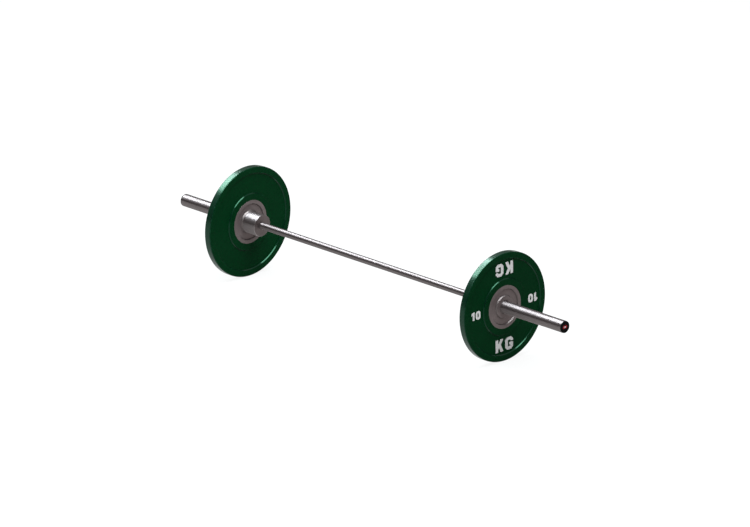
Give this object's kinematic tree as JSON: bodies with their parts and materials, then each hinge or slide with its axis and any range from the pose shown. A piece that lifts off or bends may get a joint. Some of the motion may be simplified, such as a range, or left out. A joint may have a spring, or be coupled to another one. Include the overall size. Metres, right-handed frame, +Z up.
{
  "type": "olympic barbell",
  "caption": "Long steel barbell: grip shaft, thick collars, weight sleeves that spin on needle bearings, and green rubber bumper plates with steel hubs that slide on the sleeves.",
  "frame": {"origin": "on the bar's axis, halfway between the two collars", "axes": "+X along the bar to its right end, +Z up, the plates' round edges in planes across X"},
  "size_m": [2.13, 0.45, 0.4499],
  "materials": {
    "grip_chrome": "satin hard chrome",
    "sleeve_chrome": "bright chrome",
    "hub_steel": "satin plated steel",
    "plate_rubber": "moulded, low sheen",
    "cap_plastic": "moulded black",
    "seal_rubber": "black nitrile rubber",
    "bearing_steel": "ground",
    "bearing_bronze": "oiled sintered bronze",
    "spacer_aluminium": "drawn tube",
    "core_steel": "cut plate"
  },
  "bodies": {
    "shaft": {"shaft": "grip_chrome", "left_inner_thrust_washer": "bearing_bronze", "left_outer_thrust_washer": "bearing_bronze", "left_retaining_ring": "bearing_steel", "right_inner_thrust_washer": "bearing_bronze", "right_outer_thrust_washer": "bearing_bronze", "right_retaining_ring": "bearing_steel"},
    "left_sleeve": {"left_sleeve_tube": "sleeve_chrome", "left_collar": "sleeve_chrome", "left_dust_seal": "seal_rubber", "left_bronze_bush": "bearing_bronze", "left_inner_bearing_cup": "bearing_steel", "left_spacer_tube": "spacer_aluminium", "left_outer_bearing_cup": "bearing_steel", "left_end_cap": "cap_plastic", "left_cap_seal_ring": "seal_rubber"},
    "left_plate": {"left_plate_core": "core_steel", "left_plate_rubber": "plate_rubber", "left_plate_outer_disc": "hub_steel", "left_plate_inner_disc": "hub_steel", "left_plate_bore_bush": "hub_steel"},
    "left_inner_cage": {"left_inner_bearing_cage": "bearing_steel", "left_inner_bearing_needles": "bearing_steel"},
    "left_outer_cage": {"left_outer_bearing_cage": "bearing_steel", "left_outer_bearing_needles": "bearing_steel"},
    "right_sleeve": {"right_sleeve_tube": "sleeve_chrome", "right_collar": "sleeve_chrome", "right_dust_seal": "seal_rubber", "right_bronze_bush": "bearing_bronze", "right_inner_bearing_cup": "bearing_steel", "right_spacer_tube": "spacer_aluminium", "right_outer_bearing_cup": "bearing_steel", "right_end_cap": "cap_plastic", "right_cap_seal_ring": "seal_rubber"},
    "right_plate": {"right_plate_core": "core_steel", "right_plate_rubber": "plate_rubber", "right_plate_outer_disc": "hub_steel", "right_plate_inner_disc": "hub_steel", "right_plate_bore_bush": "hub_steel"},
    "right_inner_cage": {"right_inner_bearing_cage": "bearing_steel", "right_inner_bearing_needles": "bearing_steel"},
    "right_outer_cage": {"right_outer_bearing_cage": "bearing_steel", "right_outer_bearing_needles": "bearing_steel"}
  },
  "joints": [
    {"name": "left_sleeve_spin", "type": "hinge", "parent": "shaft", "child": "left_sleeve", "pos_m": [-0.84, 0, 0], "axis": [1, 0, 0], "continuous": true},
    {"name": "left_plate_slide", "type": "slide", "parent": "left_sleeve", "child": "left_plate", "axis": [-1, 0, 0], "range_m": [0, 0.334]},
    {"name": "left_inner_cage_spin", "type": "hinge", "parent": "shaft", "child": "left_inner_cage", "pos_m": [-0.689, 0, 0], "axis": [1, 0, 0], "continuous": true},
    {"name": "left_outer_cage_spin", "type": "hinge", "parent": "shaft", "child": "left_outer_cage", "pos_m": [-1.0202, 0, 0], "axis": [1, 0, 0], "continuous": true},
    {"name": "right_sleeve_spin", "type": "hinge", "parent": "shaft", "child": "right_sleeve", "pos_m": [0.84, 0, 0], "axis": [1, 0, 0], "continuous": true},
    {"name": "right_plate_slide", "type": "slide", "parent": "right_sleeve", "child": "right_plate", "axis": [1, 0, 0], "range_m": [0, 0.334]},
    {"name": "right_inner_cage_spin", "type": "hinge", "parent": "shaft", "child": "right_inner_cage", "pos_m": [0.689, 0, 0], "axis": [1, 0, 0], "continuous": true},
    {"name": "right_outer_cage_spin", "type": "hinge", "parent": "shaft", "child": "right_outer_cage", "pos_m": [1.0202, 0, 0], "axis": [1, 0, 0], "continuous": true}
  ],
  "couplings": [
    {"joint": "left_inner_cage_spin", "follows": "left_sleeve_spin", "ratio": 0.56897},
    {"joint": "left_outer_cage_spin", "follows": "left_sleeve_spin", "ratio": 0.56897},
    {"joint": "right_inner_cage_spin", "follows": "right_sleeve_spin", "ratio": 0.56897},
    {"joint": "right_outer_cage_spin", "follows": "right_sleeve_spin", "ratio": 0.56897}
  ]
}
